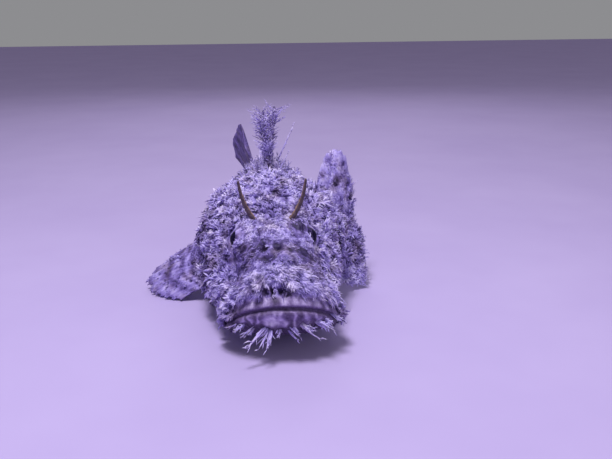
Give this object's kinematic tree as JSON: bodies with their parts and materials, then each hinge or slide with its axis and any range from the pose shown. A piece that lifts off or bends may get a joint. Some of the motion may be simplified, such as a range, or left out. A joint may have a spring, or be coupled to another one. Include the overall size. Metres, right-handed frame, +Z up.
{
  "type": "scorpionfish",
  "caption": "Life-size tasselled scorpionfish resting on its belly, with a broad down-curved mouth, feelers over the eyes, a spiny back fin and spread side fins.",
  "frame": {"origin": "middle of the bounding box, on the floor plane that the belly and the fins rest on", "axes": "+Z up, -Y towards the snout, +X towards the fish's own left"},
  "size_m": [0.1224, 0.2508, 0.1022],
  "materials": {
    "head_skin": "rough mottled skin",
    "jaw_skin": "moist skin with light and dark stripes",
    "body_skin": "rough mottled skin",
    "spiny_fin_skin": "mottled fin skin",
    "dark_fin_skin": "dark fin skin",
    "fin_skin": "banded fin skin",
    "eye": "wet and glossy",
    "feeler_skin": "brown skin"
  },
  "bodies": {
    "root": {"head": "head_skin", "lower_jaw": "jaw_skin", "trunk": "body_skin", "tail_stalk": "body_skin", "spiny_dorsal_fin": "spiny_fin_skin", "soft_dorsal_fin": "dark_fin_skin", "anal_fin": "fin_skin", "caudal_fin": "fin_skin", "pectoral_fin_left": "fin_skin", "pectoral_fin_right": "fin_skin", "pelvic_fin_left": "fin_skin", "pelvic_fin_right": "fin_skin", "eye_left": "eye", "eye_right": "eye", "feeler_left": "feeler_skin", "feeler_right": "feeler_skin"}
  },
  "joints": []
}
